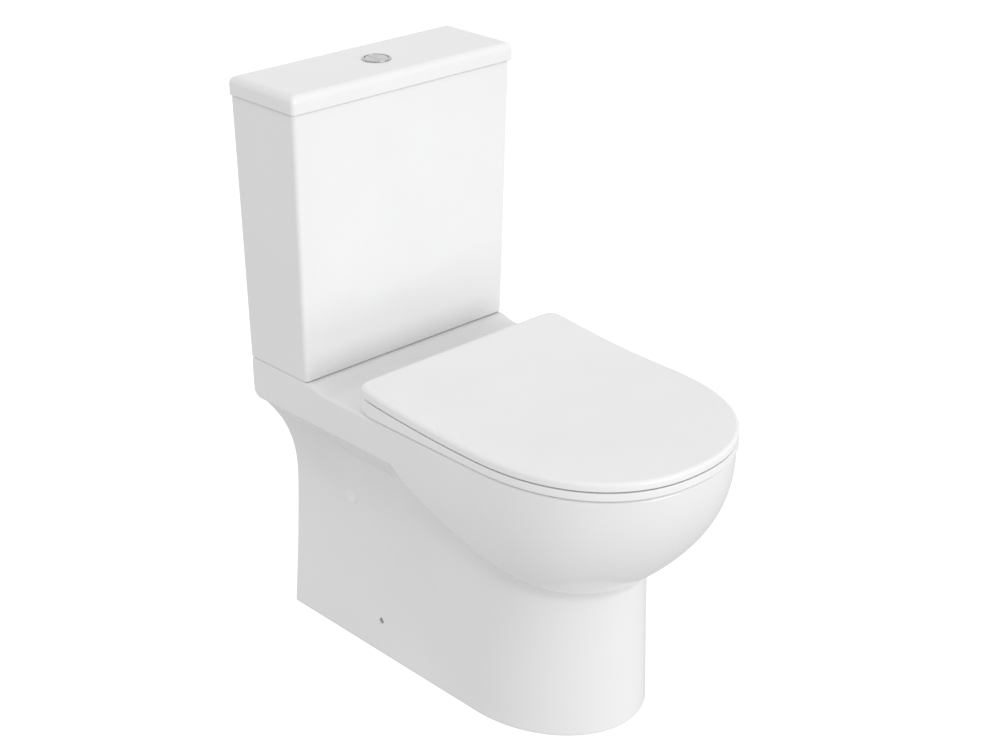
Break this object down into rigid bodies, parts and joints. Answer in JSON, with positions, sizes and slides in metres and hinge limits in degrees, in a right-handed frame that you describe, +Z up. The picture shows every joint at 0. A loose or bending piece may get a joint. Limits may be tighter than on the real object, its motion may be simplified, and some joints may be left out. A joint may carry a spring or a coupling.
{
  "type": "close coupled toilet",
  "caption": "Close coupled toilet: pan on a plinth, cistern with lift-off lid and two-part flush button, hinged seat and lid, working flush and fill valves.",
  "frame": {"origin": "on the floor, midway between left and right and midway between the wall and the front of the seat", "axes": "+Z up, +Y towards the wall behind, +X to the right as seen from the front"},
  "size_m": [0.375, 0.653, 0.802],
  "materials": {
    "white_china": "gloss white glaze",
    "white_seat": "gloss white",
    "white_cap": "gloss white",
    "chrome": "polished",
    "grey_plastic": "moulded",
    "black_rubber": "matt",
    "stainless_steel": "drawn",
    "brass": "turned"
  },
  "bodies": {
    "pan_and_cistern": {"cistern_tank": "white_china", "coupling_bolt_left": "brass", "coupling_bolt_right": "brass", "coupling_rubber_left": "black_rubber", "coupling_rubber_right": "black_rubber", "coupling_washer_left": "stainless_steel", "coupling_washer_right": "stainless_steel", "doughnut_seal": "black_rubber", "fill_valve_body": "grey_plastic", "fill_valve_nut": "brass", "fill_valve_washer": "black_rubber", "float_arm_pin": "stainless_steel", "floor_bracket_left": "grey_plastic", "floor_bracket_right": "grey_plastic", "floor_screw_left": "stainless_steel", "floor_screw_right": "stainless_steel", "flush_valve_body": "grey_plastic", "flush_valve_nut": "grey_plastic", "flush_valve_washer": "black_rubber", "full_flush_lever_pin": "stainless_steel", "half_flush_lever_pin": "stainless_steel", "hinge_nut_left": "grey_plastic", "hinge_nut_right": "grey_plastic", "hinge_pin_left": "stainless_steel", "hinge_pin_right": "stainless_steel", "hinge_post_left": "grey_plastic", "hinge_post_right": "grey_plastic", "hinge_stud_left": "stainless_steel", "hinge_stud_right": "stainless_steel", "outlet_connector": "black_rubber", "pan": "white_china", "side_cap_left": "white_cap", "side_cap_right": "white_cap", "wing_nut_left": "brass", "wing_nut_right": "brass"},
    "cistern_cover": {"cistern_lid": "white_china", "button_collar": "chrome", "button_collar_nut": "grey_plastic"},
    "full_button": {"full_flush_button": "chrome", "full_flush_button_rod": "grey_plastic"},
    "half_button": {"half_flush_button": "chrome", "half_flush_button_rod": "grey_plastic"},
    "full_lever": {"full_flush_lever": "grey_plastic"},
    "half_lever": {"half_flush_lever": "grey_plastic"},
    "valve_lift": {"overflow_tube": "grey_plastic", "flush_valve_seal": "black_rubber"},
    "float": {"float_cup": "grey_plastic", "float_rod": "grey_plastic"},
    "float_arm": {"float_arm": "grey_plastic"},
    "seat": {"seat_ring": "white_seat", "seat_buffer_back_left": "black_rubber", "seat_buffer_back_right": "black_rubber", "seat_buffer_front_left": "black_rubber", "seat_buffer_front_right": "black_rubber"},
    "lid": {"seat_lid": "white_seat", "lid_buffer_left": "black_rubber", "lid_buffer_right": "black_rubber"}
  },
  "joints": [
    {"name": "seat_hinge", "type": "hinge", "parent": "pan_and_cistern", "child": "seat", "pos_m": [0, 0.0965, 0.4165], "axis": [-1, 0, 0], "range_deg": [0, 95]},
    {"name": "lid_hinge", "type": "hinge", "parent": "seat", "child": "lid", "pos_m": [0, 0.0965, 0.4165], "axis": [1, 0, 0], "range_deg": [-100, 0]},
    {"name": "cistern_lid_lift", "type": "slide", "parent": "pan_and_cistern", "child": "cistern_cover", "axis": [0, 0, 1], "range_m": [0, 0.15]},
    {"name": "full_flush", "type": "slide", "parent": "cistern_cover", "child": "full_button", "axis": [0, 0, -1], "range_m": [0, 0.01], "stiffness_N_per_m": 200, "springref_m": -0.006},
    {"name": "half_flush", "type": "slide", "parent": "cistern_cover", "child": "half_button", "axis": [0, 0, -1], "range_m": [0, 0.008], "stiffness_N_per_m": 200, "springref_m": -0.006},
    {"name": "full_lever_pivot", "type": "hinge", "parent": "pan_and_cistern", "child": "full_lever", "pos_m": [0.028, 0.2565, 0.69], "axis": [0, -1, 0], "range_deg": [0, 31]},
    {"name": "half_lever_pivot", "type": "hinge", "parent": "pan_and_cistern", "child": "half_lever", "pos_m": [-0.028, 0.2565, 0.69], "axis": [0, 1, 0], "range_deg": [0, 31]},
    {"name": "valve_lift", "type": "slide", "parent": "pan_and_cistern", "child": "valve_lift", "axis": [0, 0, 1], "range_m": [0, 0.01]},
    {"name": "float_travel", "type": "slide", "parent": "pan_and_cistern", "child": "float", "axis": [0, 0, 1], "range_m": [0, 0.015]},
    {"name": "float_arm_pivot", "type": "hinge", "parent": "pan_and_cistern", "child": "float_arm", "pos_m": [-0.122, 0.2665, 0.697], "axis": [0, -1, 0], "range_deg": [0, 34]}
  ],
  "couplings": [
    {"joint": "full_lever_pivot", "follows": "full_flush", "rad_per_m": 53.8},
    {"joint": "half_lever_pivot", "follows": "half_flush", "rad_per_m": 53.8},
    {"joint": "valve_lift", "follows": "full_flush", "ratio": 1},
    {"joint": "float_arm_pivot", "follows": "float_travel", "rad_per_m": 39.2}
  ]
}
